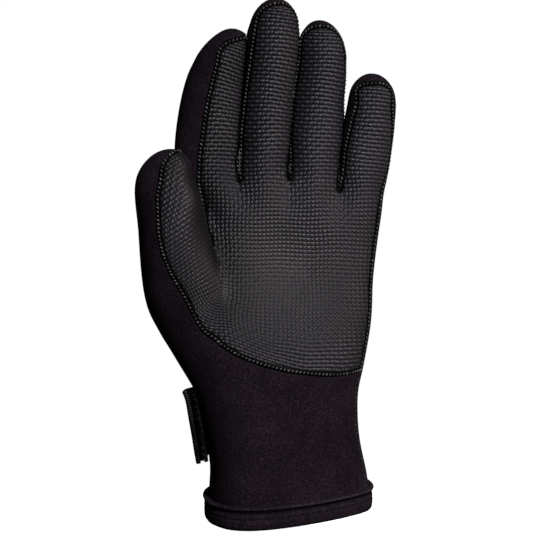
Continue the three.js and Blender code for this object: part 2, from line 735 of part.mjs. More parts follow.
// A point over the outer surface of the wrist: height is measured along it and out stands off it
function overWrist(angle, height, out) {
  const step = 0.5;
  const point = bodyPoint(angle, height);
  const along = bodyPoint(angle, height + step).sub(point);
  const around = bodyPoint(angle - step, height).sub(bodyPoint(angle + step, height));
  return point.addScaledVector(around.cross(along).normalize(), out);
}

// A solid whose cross-section follows a row of angles. sectionAt gives its outline at each of them,
// anticlockwise when seen along the way round. It closes on itself, or ends in two flat faces.
function sweptGeometry(angles, sectionAt, isRing) {
  const rows = angles.map((angle, i) => sectionAt(angle, i / (angles.length - 1)));
  const count = rows[0].length;
  const vertices = rows.flat().flatMap((point) => point.toArray());
  const triangles = [];
  const bands = isRing ? rows.length : rows.length - 1;
  for (let i = 0; i < bands; i += 1) {
    const here = i * count;
    const next = ((i + 1) % rows.length) * count;
    for (let k = 0; k < count; k += 1) {
      const k2 = (k + 1) % count;
      triangles.push(here + k, here + k2, next + k2, here + k, next + k2, next + k);
    }
  }
  if (!isRing) {
    const last = (rows.length - 1) * count;
    for (let k = 0; k < count / 2 - 1; k += 1) {
      const [a, b, c, d] = [k, k + 1, count - 2 - k, count - 1 - k];
      triangles.push(a, c, b, a, d, c);
      triangles.push(last + a, last + b, last + c, last + a, last + c, last + d);
    }
  }
  const geometry = new THREE.BufferGeometry();
  geometry.setAttribute("position", new THREE.Float32BufferAttribute(vertices, 3));
  geometry.setIndex(triangles);
  geometry.computeVertexNormals();
  return geometry;
}

// The hem is folded round the cut edge of the cuff, with a raised welt along its top
const hemFoot = -fitGap - hemThickness;
const hemOuter = fitGap + hemThickness;
const hemInner = -neopreneWall - fitGap;
const weltFoot = hemHeight - weltHeight;
const hemProfile = [
  { out: fitGap, up: hemHeight },
  { out: fitGap, up: hemHeight / 2 },
  { out: fitGap, up: -fitGap },
  { out: hemInner, up: -fitGap },
  { out: hemInner, up: hemInside },
  { out: hemInner - hemThickness / 2, up: hemInside },
  { out: hemInner - hemThickness / 2, up: hemFoot + foldRound },
  { out: hemInner - hemThickness / 4, up: hemFoot },
  { out: fitGap + hemThickness / 3, up: hemFoot },
  { out: hemOuter, up: hemFoot + foldRound },
  { out: hemOuter, up: weltFoot - edgeRound },
  { out: hemOuter - weltGroove, up: weltFoot },
  { out: hemOuter + weltProud, up: weltFoot + edgeRound },
  { out: hemOuter + weltProud, up: hemHeight - edgeRound },
];
const hem = sweptGeometry(
  hemAngles,
  (angle) => hemProfile.map(({ out, up }) => overWrist(angle, cuffFoot + up, out)).reverse(),
  true,
);

// A band over the wrist between two heights. standOff is a table of its underside's distance from the
// glove, read along the band.
function bandGeometry(from, to, columns, low, high, thickness, standOff) {
  const places = standOff.map((row) => row.at);
  const angles = [];
  for (let i = 0; i <= columns; i += 1) angles.push(mix(from, to, i / columns));
  const heights = [];
  for (let i = 0; i <= bandRows; i += 1) heights.push(mix(low, high, i / bandRows));
  return sweptGeometry(
    angles,
    (angle, share) => {
      const { out } = readTable(standOff, places, share);
      const under = heights.map((height) => overWrist(angle, height, out));
      const over = heights.map((height) => overWrist(angle, height, out + thickness)).reverse();
      return [...over, ...under];
    },
    false,
  );
}

// The strap lies on the glove where it is sewn down and over the two tapes where it closes
const loopOut = fitGap + 2 * tapeGap;
const hookOut = loopOut + tapeThickness + tapeGap;
const strapOut = hookOut + tapeThickness + tapeGap;
const strapStandOff = [
  { at: 0, out: fitGap },
  { at: 0.45, out: 0.8 },
  { at: 0.62, out: 1.6 },
  { at: 0.78, out: strapOut },
  { at: 1, out: strapOut },
];
const tapeLow = strapFoot + tapeInset;
const tapeHigh = strapTop - tapeInset;
const level = (out) => [
  { at: 0, out },
  { at: 1, out },
];
const strap = bandGeometry(
  strapStart, strapEnd, strapColumns, strapFoot, strapTop, strapThickness, strapStandOff,
);
const hookTape = bandGeometry(
  hookStart, hookEnd, hookColumns, tapeLow, tapeHigh, tapeThickness, level(hookOut),
);
const loopTape = bandGeometry(
  loopStart, loopEnd, loopColumns, tapeLow, tapeHigh, tapeThickness, level(loopOut),
);

const neoprene = new THREE.MeshStandardMaterial({ color: 0x17151a, roughness: 0.95, metalness: 0 });
const grip = new THREE.MeshStandardMaterial({ color: 0x2b2a2e, roughness: 0.6, metalness: 0 });
const webbing = new THREE.MeshStandardMaterial({ color: 0x141414, roughness: 0.9, metalness: 0 });
const tape = new THREE.MeshStandardMaterial({ color: 0x1c1c1c, roughness: 1, metalness: 0 });

const glove = new THREE.Group();

function addPiece(name, geometry, material) {
  const mesh = new THREE.Mesh(geometry, material);
  mesh.name = name;
  glove.add(mesh);
}

addPiece("neoprene_body", panelGeometry("plain"), neoprene);
addPiece("palm_grip", panelGeometry("grip"), grip);
addPiece("cuff_hem", hem, neoprene);
addPiece("wrist_strap", strap, webbing);
addPiece("hook_tape", hookTape, tape);
addPiece("loop_tape", loopTape, tape);

export default glove;
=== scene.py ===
import math
import random

import bmesh
import bpy
import numpy as np
from mathutils import Matrix, Vector
from mathutils.bvhtree import BVHTree
from mathutils.kdtree import KDTree


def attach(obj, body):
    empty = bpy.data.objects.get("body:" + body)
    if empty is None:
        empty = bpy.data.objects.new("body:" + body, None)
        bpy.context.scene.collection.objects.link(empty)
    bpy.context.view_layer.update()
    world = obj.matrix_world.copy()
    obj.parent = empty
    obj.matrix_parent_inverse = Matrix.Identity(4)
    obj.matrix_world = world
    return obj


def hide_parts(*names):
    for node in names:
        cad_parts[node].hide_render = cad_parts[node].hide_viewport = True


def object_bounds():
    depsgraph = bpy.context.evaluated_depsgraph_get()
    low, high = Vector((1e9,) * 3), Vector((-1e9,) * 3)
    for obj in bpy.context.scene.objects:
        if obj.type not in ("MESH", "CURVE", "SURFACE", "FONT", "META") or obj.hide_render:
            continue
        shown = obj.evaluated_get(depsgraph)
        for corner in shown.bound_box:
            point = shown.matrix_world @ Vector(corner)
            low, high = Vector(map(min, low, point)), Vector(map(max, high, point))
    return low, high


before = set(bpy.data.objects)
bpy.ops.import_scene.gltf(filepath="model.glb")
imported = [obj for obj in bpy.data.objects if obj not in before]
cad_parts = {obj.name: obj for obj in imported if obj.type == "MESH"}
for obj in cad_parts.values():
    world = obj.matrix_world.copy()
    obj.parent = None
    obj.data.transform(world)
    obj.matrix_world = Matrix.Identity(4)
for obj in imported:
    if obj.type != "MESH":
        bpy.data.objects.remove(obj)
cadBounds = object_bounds()
mm = 0.001
random.seed(7)
print("frame loaded")


# helpers shared by the pieces

def cleanCopy(nodeName):
    # the solid's triangles, merged and joined back into four-sided faces
    bm = bmesh.new()
    bm.from_mesh(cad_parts[nodeName].data)
    bmesh.ops.remove_doubles(bm, verts=bm.verts, dist=0.01 * mm)
    bmesh.ops.join_triangles(
        bm, faces=bm.faces,
        angle_face_threshold=math.radians(60), angle_shape_threshold=math.radians(70),
    )
    return bm


def connectedFaces(bm, walls):
    # groups of faces that can be walked without crossing one of the walls
    seen = set()
    groups = []
    for start in bm.faces:
        if start in seen:
            continue
        seen.add(start)
        waiting = [start]
        group = []
        while waiting:
            face = waiting.pop()
            group.append(face)
            for edge in face.edges:
                if edge in walls:
                    continue
                for other in edge.link_faces:
                    if other not in seen:
                        seen.add(other)
                        waiting.append(other)
        groups.append(group)
    return groups


def sharpEdges(bm, bend):
    return [e for e in bm.edges if e.calc_face_angle(0) > math.radians(bend)]


def roundEdges(bm, edges, width):
    bmesh.ops.bevel(
        bm, geom=edges, offset=width * mm, segments=2, profile=0.5,
        affect="EDGES", material=-1, clamp_overlap=True,
    )


def markOuter(bm, bend=60):
    # outer faces get material 0 and the rest 1, and the cut edges are creased
    crease = bm.edges.layers.float.new("crease_edge")
    sharp = set(sharpEdges(bm, bend))
    groups = connectedFaces(bm, sharp)
    outer = set(max(groups, key=lambda group: sum(f.calc_area() for f in group)))
    for face in bm.faces:
        face.material_index = 0 if face in outer else 1
        face.smooth = True
    for edge in bm.edges:
        kinds = {f.material_index for f in edge.link_faces}
        if len(kinds) == 2 or (edge in sharp and kinds == {1}):
            edge[crease] = 1.0


def newPiece(bm, name):
    mesh = bpy.data.meshes.new(name)
    bm.to_mesh(mesh)
    bm.free()
    piece = bpy.data.objects.new(name, mesh)
    bpy.context.collection.objects.link(piece)
    return piece


def readPoints(mesh, what="co"):
    values = np.empty(len(mesh.vertices) * 3, np.float32)
    mesh.vertices.foreach_get(what, values)
    return values.reshape(-1, 3).astype(float)


def writePoints(mesh, points):
    mesh.vertices.foreach_set("co", points.astype(np.float32).ravel())
    mesh.update()


def subdivide(piece, levels, keepsPoints=True):
    # smooths with a subdivision surface that still passes through the solid's own points
    smooth = piece.modifiers.new("smooth", "SUBSURF")
    smooth.levels = smooth.render_levels = levels
    wanted = readPoints(piece.data)
    for _ in range(3 if keepsPoints else 0):
        graph = bpy.context.evaluated_depsgraph_get()
        reached = readPoints(piece.evaluated_get(graph).data)[: len(wanted)]
        writePoints(piece.data, readPoints(piece.data) + 0.8 * (wanted - reached))
    graph = bpy.context.evaluated_depsgraph_get()
    fine = bpy.data.meshes.new_from_object(piece.evaluated_get(graph))
    piece.modifiers.clear()
    piece.data = fine
    return piece


def finishPiece(piece, nodeNames, materials):
    piece.data.materials.clear()
    for material in materials:
        piece.data.materials.append(material)
    for polygon in piece.data.polygons:
        polygon.use_smooth = True
    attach(piece, "root")
    if nodeNames:
        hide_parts(*nodeNames)
    return piece


def smoothStep(low, high, value):
    t = np.clip((value - low) / (high - low), 0, 1)
    return t * t * (3 - 2 * t)


def hump(away, width):
    # 1 at a line and 0 well away from it
    return np.exp(-(away / width) ** 2)


def ovalSpot(x, z, oval):
    # 1 in the middle of an oval and 0 well outside it; oval is its middle and its half widths
    middleX, middleZ, halfWide, halfHigh = oval
    return np.exp(-((x - middleX) / halfWide) ** 2 - ((z - middleZ) / halfHigh) ** 2)


def lineAt(rows, at):
    # how far a line has gone in its second number where its first one is at
    return np.interp(at, [row[0] for row in rows], [row[1] for row in rows])


def addAttribute(mesh, name, values):
    attribute = mesh.attributes.new(name, "FLOAT", "POINT")
    attribute.data.foreach_set("value", values.astype(np.float32))


def addMap(mesh, name, places):
    # a UV map that holds one place per point
    corner = np.empty(len(mesh.loops), np.int32)
    mesh.loops.foreach_get("vertex_index", corner)
    layer = mesh.uv_layers.new(name=name)
    layer.data.foreach_set("uv", places[corner].astype(np.float32).ravel())


# where neighbouring fingers press on each other: height, place and half the gap there, in mm
fingerSlots = [
    [
        (158, -24.6, 0.0), (164, -24.6, 1.2), (180, -24.7, 1.4), (204, -24.1, 0.9),
        (222, -23.0, 0.7), (236, -21.5, 0.9), (242, -21.0, 0.2),
    ],
    [
        (158, 0.2, 0.0), (166, 0.2, 0.9), (180, 0.4, 0.9), (204, 1.4, 0.9),
        (220, 3.3, 1.1), (229, 4.3, 1.3), (236, 5.0, 0.8), (242, 5.4, 0.0),
    ],
    [
        (158, 25.0, 0.0), (164, 25.2, 0.9), (180, 26.0, 1.1), (188, 26.9, 1.0),
        (196, 27.6, 0.8), (204, 28.1, 0.1), (208, 28.3, 0.0),
    ],
]
settleLook = {
    # mm, all of it; the spans say from where to where a move grows to its full size
    "indexLean": 2.4, "indexHeights": (226, 240), "indexRightEdge": -21,
    "littleDrop": 0.9, "littleHeights": (206, 219), "littleLeftEdge": (28.5, 31),
    "giveNear": 0.8, "giveFar": 7,  # a side gives way in full near a slot, and not at all far off
    "leastGap": 0.04,               # half the gap that always stays
}


def settleFingers(points):
    # the fingers lean and press together as the worn glove's do; points in mm
    look = settleLook
    settled = points.copy()
    x, z = settled[:, 0], settled[:, 2]
    x += look["indexLean"] * smoothStep(*look["indexHeights"], z) * (x < look["indexRightEdge"])
    onLittle = smoothStep(*look["littleLeftEdge"], x)
    z -= look["littleDrop"] * smoothStep(*look["littleHeights"], z) * onLittle
    for rows in fingerSlots:
        heights, places, gaps = zip(*rows)
        away = x - np.interp(z, heights, places)
        gap = np.interp(z, heights, gaps)
        give = 1 - smoothStep(look["giveNear"], look["giveFar"], np.abs(away))
        pressed = np.maximum(np.abs(away) - gap * give, look["leastGap"])
        inside = (np.abs(away) < look["giveFar"]) & (z > heights[0]) & (z < heights[-1])
        x[inside] += (np.sign(away) * (pressed - np.abs(away)))[inside]
    return settled


# materials

class NodeBoard:
    # short ways to add and join the nodes of one material
    def __init__(self, name):
        self.material = bpy.data.materials.new(name)
        self.material.use_nodes = True
        self.tree = self.material.node_tree
        self.shader = self.tree.nodes["Principled BSDF"]

    def add(self, kind, inputs=None, **settings):
        node = self.tree.nodes.new(kind)
        for key, value in settings.items():
            setattr(node, key, value)
        for key, value in (inputs or {}).items():
            self.put(node.inputs[key], value)
        return node

    def put(self, socket, value):
        if isinstance(value, bpy.types.NodeSocket):
            self.tree.links.new(value, socket)
        else:
            socket.default_value = value

    def maths(self, operation, *values, clamp=False):
        node = self.add("ShaderNodeMath", operation=operation, use_clamp=clamp)
        for socket, value in zip(node.inputs, values):
            self.put(socket, value)
        return node.outputs[0]

    def noise(self, coordinates, scale, detail=2.0, roughness=0.5):
        return self.add(
            "ShaderNodeTexNoise",
            {"Vector": coordinates, "Scale": scale, "Detail": detail, "Roughness": roughness},
        ).outputs["Fac"]

    def ramp(self, value, stops):
        node = self.add("ShaderNodeValToRGB", {"Fac": value})
        ramp = node.color_ramp
        while len(ramp.elements) < len(stops):
            ramp.elements.new(0.5)
        for element, (place, colour) in zip(ramp.elements, stops):
            element.position = place
            element.color = (*colour, 1)
        return node.outputs["Color"]

    def bump(self, height, distance, strength=1.0, normal=None):
        inputs = {"Height": height, "Distance": distance, "Strength": strength}
        if normal is not None:
            inputs["Normal"] = normal
        return self.add("ShaderNodeBump", inputs).outputs["Normal"]

    def finish(self, **sockets):
        for key, value in sockets.items():
            self.put(self.shader.inputs[key.replace("_", " ")], value)
        return self.material


clothLook = {
    "knitScale": 2100, "clumpScale": 700, "broadScale": 45,
    "knitShare": 0.75, "clumpShare": 0.25, "broadShare": 0.16,
    "tones": [
        (0.36, (0.0020, 0.0013, 0.0022)), (0.50, (0.0082, 0.0052, 0.0084)),
        (0.60, (0.0170, 0.0117, 0.0172)), (0.76, (0.0480, 0.0380, 0.0480)),
    ],
    "bump": 0.35,  # mm
    "roughness": 0.85, "sheen": 0.012, "sheenTint": (0.8, 0.66, 0.74, 1),
}


def makeNeoprene(name, tint=1.0):
    # a fine jersey face over foam: nearly black, with a faint warm cast and tiny light specks
    look = clothLook
    board = NodeBoard(name)
    place = board.add("ShaderNodeTexCoord").outputs["Object"]
    knit = board.noise(place, look["knitScale"], 2.0, 0.6)
    clumps = board.noise(place, look["clumpScale"], 3.0, 0.6)
    mixed = board.maths(
        "ADD", board.maths("MULTIPLY", knit, look["knitShare"]),
        board.maths("MULTIPLY", clumps, look["clumpShare"]),
    )
    broad = board.maths("SUBTRACT", board.noise(place, look["broadScale"], 2.0), 0.5)
    shade = board.maths("ADD", mixed, board.maths("MULTIPLY", broad, look["broadShare"]))
    # painted light and shade that a piece carries, added to the cloth's tone
    paintedShading = board.add("ShaderNodeAttribute", attribute_name="paintedShading").outputs["Fac"]
    shade = board.maths("ADD", shade, paintedShading)
    colour = board.ramp(shade, [(at, [part * tint for part in tone]) for at, tone in look["tones"]])
    return board.finish(
        Base_Color=colour, Roughness=look["roughness"], Specular_IOR_Level=0.03,
        Normal=board.bump(mixed, look["bump"] * mm, 0.7),
        Sheen_Weight=look["sheen"], Sheen_Roughness=0.5, Sheen_Tint=look["sheenTint"],
    )


gripLook = {
    "relief": 0.50,        # mm from the pits to the tops of the weave
    "bump": 0.42,          # mm that the finer relief adds
    "fingerAcross": 2.30,  # mm, one cell of the weave on the fingers
    "fingerAlong": 2.10,
    "palmCell": 2.05,
    "thumbCell": 2.25,
    "footCell": 2.30,            # near the lower seam
    "footHeights": (70, 120),    # mm up, where the foot's cells turn into the palm's
    "footReach": 38,             # mm over which the rows stop following the lower seam
    "footFollow": 0.8,           # how closely they follow it
    "footLevel": 68,             # mm up, the seam's lowest part
    "long": (0.55, 0.45, 0.72, 1.0),    # fall-off, lift over the crossing thread, level, height
    "short": (0.85, 0.75, 0.50, 0.82),  # the same for the threads that cross them
    "rowLine": 0.55,       # how much the lines between the rows cut into the crossing threads
    "wander": 0.12,        # cells by which the rows wander
    "diamond": 0.45,       # how much the threads' tops round off to diamonds where both lie level
    "palmLay": 0.48, "palmLayDrop": 0.16,  # 0 has the long threads across, 1 has them upright
    "thumbLay": 0.2, "thumbLayRise": 0.7,

    # ovals, as the middle's x and z with half the width and height in mm, and what goes on in them
    "calm": (-3, 132, 34, 30),     # the weave is flattest in the palm's middle, where painted shade also darkens it
    "calmShare": 0.50, "calmShade": 0.55,
    "foldCalm": (-34, 111, 6, 7),  # and at the foot of the thumb's fold
    "foldCalmShare": 0.6,
    "hollow": (-29, 121, 11, 19), "hollowShade": 0.22,        # painted shade beside the thumb, where its shadow falls
    "thumbLight": (-54, 142, 9, 24), "thumbLightShare": 1.4,  # painted light on the thumb's side

    # painted light: how much lighter the rubber gets towards the little finger, and the palm's
    # share of that
    "rightLight": 1.0, "rightReach": 50, "palmRightShare": 0.35,
    "creaseShade": 1.3, "creaseWidth": 4.5,  # painted shade along the thumb's fold

    "rollWidth": 1.3, "rollHeight": 0.30,    # mm, the stitched edge of the panel
    "edgeDrop": 0.7, "edgeWidth": 0.35,      # the cut edge beyond it
    "grooveDepth": 0.75, "grooveGap": 0.3, "grooveWidth": 0.45,
    "swell": 0.3, "swellWidth": 4.5,         # how the rubber fills out inside the groove

    # colours from the weave's pits to its tops: painted shade in the pits and painted light on the
    # tops
    "tones": [
        (0.04, (0.0004, 0.0004, 0.0005)), (0.32, (0.0046, 0.0042, 0.0056)),
        (0.68, (0.0134, 0.0124, 0.0158)), (0.95, (0.0260, 0.0246, 0.0294)),
    ],
    "grainShade": 0.30, "broadShade": 0.20, "edgeShade": 0.55,
    "roughness": 0.37, "shine": 0.31, "shineTint": (1.0, 0.95, 1.0, 1),
}


def makeGrip(name):
    # rubbery cloth embossed like a plain weave, which follows the panel's own map
    board = NodeBoard(name)
    uv = board.add("ShaderNodeUVMap", uv_map="weave").outputs["UV"]
    place = board.add("ShaderNodeTexCoord").outputs["Object"]
    parts = board.add("ShaderNodeSeparateXYZ", {"Vector": uv})
    across = board.maths("SINE", board.maths("MULTIPLY", parts.outputs["X"], math.pi))
    along = board.maths("SINE", board.maths("MULTIPLY", parts.outputs["Y"], math.pi))
    lay = board.add("ShaderNodeAttribute", attribute_name="lay").outputs["Fac"]
    smoothed = board.add("ShaderNodeAttribute", attribute_name="edge").outputs["Fac"]

    def thread(wave, other, first, second, lineShare):
        fall, lift, level, height = [
            board.maths("MULTIPLY_ADD", lay, there - here, here)
            for here, there in zip(gripLook[first], gripLook[second])
        ]
        wide = board.maths("POWER", board.maths("ABSOLUTE", wave), fall)
        over = board.maths("MULTIPLY", other, board.maths("SIGN", wave))
        lifted = board.maths("MULTIPLY_ADD", over, lift, level, clamp=True)
        shape = board.maths("MULTIPLY", board.maths("MULTIPLY", wide, lifted), height)
        between = board.maths("SUBTRACT", 1.0, board.maths("ABSOLUTE", other))
        line = board.maths("MULTIPLY", between, lineShare)
        cut = board.maths("MULTIPLY_ADD", line, -gripLook["rowLine"], 1.0)
        return board.maths("MULTIPLY", shape, cut)

    dashes = thread(along, across, "long", "short", lay)
    upright = thread(
        across, board.maths("MULTIPLY", along, -1.0), "short", "long",
        board.maths("SUBTRACT", 1.0, lay),
    )
    crossed = [
        board.maths("MULTIPLY_ADD", board.maths("MULTIPLY", wave, wave), -2.0, 1.0)
        for wave in (across, along)
    ]
    level = board.maths("MINIMUM", lay, board.maths("SUBTRACT", 1.0, lay))
    rounding = board.maths("MULTIPLY", level, gripLook["diamond"])
    diamond = board.maths("MULTIPLY", board.maths("MULTIPLY", *crossed), rounding)
    # the relief also sets the colour, painting shade into the pits and light onto the tops
    relief = board.maths("ADD", board.maths("MAXIMUM", dashes, upright), diamond, clamp=True)
    relief = board.maths("MULTIPLY", relief, smoothed)
    grain = board.noise(place, 1800, 2.0, 0.6)
    centred = board.maths("SUBTRACT", grain, 0.5)
    shade = board.maths("ADD", relief, board.maths("MULTIPLY", centred, gripLook["grainShade"]))
    seam = board.add("ShaderNodeAttribute", attribute_name="seam").outputs["Fac"]
    flat = board.maths("SUBTRACT", 1.0, smoothed)
    shade = board.maths("ADD", shade, board.maths("MULTIPLY", flat, gripLook["edgeShade"]))
    shade = board.maths("SUBTRACT", shade, seam)
    broad = board.maths("SUBTRACT", board.noise(place, 38, 2.0), 0.5)
    shade = board.maths("ADD", shade, board.maths("MULTIPLY", broad, gripLook["broadShade"]))
    # the painted light and shade held in the panel's hollow attribute
    hollow = board.add("ShaderNodeAttribute", attribute_name="hollow").outputs["Fac"]
    shade = board.maths("SUBTRACT", shade, board.maths("MULTIPLY", hollow, gripLook["hollowShade"]))
    normal = board.bump(relief, gripLook["bump"] * mm)
    normal = board.bump(grain, 0.06 * mm, 0.5, normal)
    rough = board.maths("MULTIPLY_ADD", grain, 0.20, gripLook["roughness"])
    rough = board.maths("ADD", rough, board.maths("MULTIPLY", seam, 0.4), clamp=True)
    shine = board.maths("MULTIPLY_ADD", seam, -0.26, gripLook["shine"])
    return board.finish(
        Base_Color=board.ramp(shade, gripLook["tones"]), Roughness=rough, Specular_IOR_Level=shine,
        Normal=normal, Specular_Tint=gripLook["shineTint"],
    )


def makeThread(name, tone, roughness=0.42):
    board = NodeBoard(name)
    place = board.add("ShaderNodeTexCoord").outputs["Object"]
    fibres = board.noise(place, 3500, 2.0)
    patches = board.maths("MULTIPLY", board.noise(place, 330, 2.0), 0.9)
    patches = board.maths("SUBTRACT", patches, 0.2)
    shade = board.maths("ADD", board.maths("MULTIPLY", fibres, 0.5), patches)
    colour = board.ramp(shade, [(0.35, (tone * 0.12,) * 3), (0.75, (tone * 1.3,) * 3)])
    return board.finish(
        Base_Color=colour, Roughness=roughness, Specular_IOR_Level=0.20,
        Normal=board.bump(fibres, 0.1 * mm, 0.6),
    )


webbingLook = {
    "ribPitch": 0.9, "ribShare": 0.5,    # mm, and how much the ribs count in the relief
    "pickPitch": 1.3, "pickShare": 0.3,  # the same for the threads across them
    "tones": [(0.1, (0.0006, 0.0006, 0.0007)), (0.9, (0.0038, 0.0038, 0.0040))],
    "bump": 0.25,
}


def makeWebbing(name):
    # close ribs across the strap, from its own map in millimetres
    look = webbingLook
    board = NodeBoard(name)
    uv = board.add("ShaderNodeUVMap", uv_map="woven").outputs["UV"]
    parts = board.add("ShaderNodeSeparateXYZ", {"Vector": uv})
    ribs, picks = [
        board.maths("MULTIPLY", board.maths("SINE", board.maths(
            "MULTIPLY", parts.outputs[axis], 2 * math.pi / look[kind + "Pitch"],
        )), look[kind + "Share"])
        for axis, kind in (("X", "rib"), ("Y", "pick"))
    ]
    height = board.maths("MULTIPLY_ADD", board.maths("ADD", ribs, picks), 0.6, 0.5)
    return board.finish(
        Base_Color=board.ramp(height, look["tones"]), Roughness=0.45, Specular_IOR_Level=0.08,
        Normal=board.bump(height, look["bump"] * mm, 0.8),
    )


tapeTones = [(0.35, (0.0008, 0.0008, 0.0008)), (0.75, (0.008, 0.008, 0.009))]


def makeTape(name, scale):
    board = NodeBoard(name)
    place = board.add("ShaderNodeTexCoord").outputs["Object"]
    tufts = board.noise(place, scale, 3.0, 0.7)
    return board.finish(
        Base_Color=board.ramp(tufts, tapeTones), Roughness=0.8, Specular_IOR_Level=0.05,
        Normal=board.bump(tufts, 0.8 * mm, 1.0), Sheen_Weight=0.01, Sheen_Roughness=0.5,
    )


neopreneCloth = makeNeoprene("neopreneCloth")
hemCloth = makeNeoprene("hemCloth", 0.95)
gripRubber = makeGrip("gripRubber")
seamThread = makeThread("seamThread", 0.10)
darkThread = makeThread("darkThread", 0.003, 0.55)
bindingThread = makeThread("bindingThread", 0.05, 0.5)
wristThread = makeThread("wristThread", 0.05, 0.5)
pileThread = makeThread("pileThread", 0.05, 0.6)
strapWebbing = makeWebbing("strapWebbing")
loopPile = makeTape("loopPile", 1300)
hookPile = makeTape("hookPile", 900)
print("materials made")


# the neoprene shell

shellLook = {
    "levels": 2,
    "edgeRound": 0.9,    # mm, the rounding of the panel's sewn edge
    "strapShade": 0.09,  # painted shade: how much darker the cloth is beside the strap
    "shadeAcross": (-24, -42), "shadeUp": (96, 60),  # mm, from where to where it darkens
}


def makeShell():
    look = shellLook
    bm = cleanCopy("neoprene_body")
    markOuter(bm)
    rim = [e for e in bm.edges if len({f.material_index for f in e.link_faces}) == 2]
    roundEdges(bm, rim, look["edgeRound"])
    piece = subdivide(newPiece(bm, "neopreneShell"), look["levels"])
    points = settleFingers(readPoints(piece.data) / mm)
    writePoints(piece.data, points * mm)
    # painted shade on the cloth beside the strap, fading upwards
    paintedShading = -look["strapShade"] * smoothStep(*look["shadeAcross"], points[:, 0])
    addAttribute(piece.data, "paintedShading", paintedShading * smoothStep(*look["shadeUp"], points[:, 2]))
    return finishPiece(piece, ["neoprene_body"], [neopreneCloth, neopreneCloth])


shell = makeShell()
print("shell made", len(shell.data.polygons))


# the gripping panel: where each digit's middle line runs, with half its width and thickness in mm

digitLines = {
    "index": [
        (-41.2, 178, -1.5, 16.4, 13.6), (-40.4, 190, -2.5, 16.1, 13.6),
        (-39.2, 203, -4.5, 15.1, 13.3),
        (-37.1, 215.2, -7, 13.9, 12.9), (-34.6, 224.2, -10, 12.6, 12.4),
    ],
    "middle": [
        (-11.9, 180, 0, 12.4, 13.2), (-11.8, 194, -1.5, 12.5, 13.1), (-10.8, 209, -4.5, 12.6, 12.9),
        (-9.3, 224, -8.5, 12.8, 12.7), (-7.8, 239.2, -13, 12.8, 12.2),
    ],
    "ring": [
        (13.2, 179.2, 3, 12.5, 13.2), (14, 193.2, 2, 13, 13), (15, 206.5, -0.5, 13, 12.7),
        (16.3, 218.5, -4, 12.5, 12.4), (17, 229, -7.5, 12, 12),
    ],
    "little": [
        (38.1, 172, 7, 12.4, 12.6), (39.4, 183, 5, 12.5, 12.2), (40.6, 193.7, 2, 12.6, 11.8),
        (41.5, 204, -1.5, 12.4, 11.3),
    ],
}
thumbLine = [
    (-50, 100, -6, 17, 17), (-53.8, 117, -10, 16.8, 17), (-57.3, 130.2, -20, 16.5, 16),
    (-59.2, 144.5, -27.5, 16.3, 14.8), (-61.3, 158.7, -30.5, 15.6, 13.6),
    (-62.3, 165.5, -31.5, 14.6, 12.8),
]
tipRise = 17  # mm over which the weave bends over a digit's tip
lowerSeam = [(-42, 92), (-37.2, 85.5), (-24.8, 77.5), (-8.5, 72), (9, 69), (26, 68.2), (37.4, 70)]
thumbFold = {
    "pivot": (-34, 111),  # the weave fans out round this point, at the foot of the thumb's fold
    "turn": 25,           # degrees by which its lines rise to the right on the thumb
    "fanRadius": 16,      # mm from the pivot where the fan's cells are as wide as elsewhere
    "from": 258, "to": 318,  # degrees round it over which the fan turns into the palm's weave
}
foldLine = [
    (60, -52), (104, -33), (123, -35), (133.5, -38), (148, -42.8), (162, -45.2), (190, -46.5),
]


def denseLine(rows, steps=80):
    rows = np.array(rows, float)
    pace = np.linalg.norm(np.diff(rows[:, :3], axis=0), axis=1)
    length = np.concatenate([[0], np.cumsum(pace)])
    at = np.linspace(0, length[-1], steps)
    line = np.stack([np.interp(at, length, rows[:, k]) for k in range(5)], axis=1)
    for _ in range(60):
        line[1:-1] = (line[:-2] + 2 * line[1:-1] + line[2:]) / 4
    return at, line


def aroundLine(points, rows):
    # how far round a digit and how far along it each point lies, in mm
    at, line = denseLine(rows)
    flat = line[:, :2]
    tangent = np.gradient(flat, axis=0)
    step = np.linalg.norm(tangent, axis=1, keepdims=True)
    pace = np.gradient(at)[:, None] / step
    tangent = tangent / step
    seen = points[:, [0, 2]]
    nearest = np.empty(len(points), int)
    atOnce = 20000
    for start in range(0, len(points), atOnce):
        part = seen[start:start + atOnce, None, :] - flat[None, :, :]
        nearest[start:start + atOnce] = np.argmin((part ** 2).sum(axis=2), axis=1)
    offset = seen - flat[nearest]
    t = tangent[nearest]
    ahead = (offset * t).sum(axis=1)
    side = offset[:, 0] * t[:, 1] - offset[:, 1] * t[:, 0]
    along = at[nearest] + ahead * pace[nearest, 0]
    wide, thick = line[nearest, 3], line[nearest, 4]
    forward = (line[nearest, 2] - points[:, 1]) / thick
    over = np.clip((along - at[-1]) / tipRise, 0, 0.98)
    forward = np.where(over > 0, np.sqrt(np.maximum(forward, 0) ** 2 + over ** 2), forward)
    around = wide * np.arctan2(side / wide, forward)
    along = np.where(over > 0, at[-1] + tipRise * np.arcsin(over), along)
    return around, along, np.abs(side) / wide


def palmMap(points):
    look = gripLook
    x, z = points[:, 0], points[:, 2]
    foot = lineAt(lowerSeam, x)
    near = 1 - smoothStep(0, look["footReach"], z - foot)
    high = smoothStep(*look["footHeights"], z)
    u = (x - 0.5) / (look["footCell"] + (look["palmCell"] - look["footCell"]) * high)
    v = (z - (foot - look["footLevel"]) * near * look["footFollow"]) / look["palmCell"]
    return np.stack([u, v], axis=1)


def fingerCells(points, base):
    # the palm's map, given over on each finger to one that follows the finger
    cells = base.copy()
    closest = np.full(len(points), np.inf)
    for rows in digitLines.values():
        side, along, reach = aroundLine(points, rows)
        start = palmMap(np.array([[rows[0][0], 0, rows[0][1]]]))[0]
        u = start[0] + side / gripLook["fingerAcross"]
        v = start[1] + along / gripLook["fingerAlong"]
        share = smoothStep(-12, 6, along)[:, None]
        better = (reach < closest) & (along > -14) & (points[:, 2] > 150)
        cells[better] = (base * (1 - share) + np.stack([u, v], axis=1) * share)[better]
        closest[better] = reach[better]
    return cells


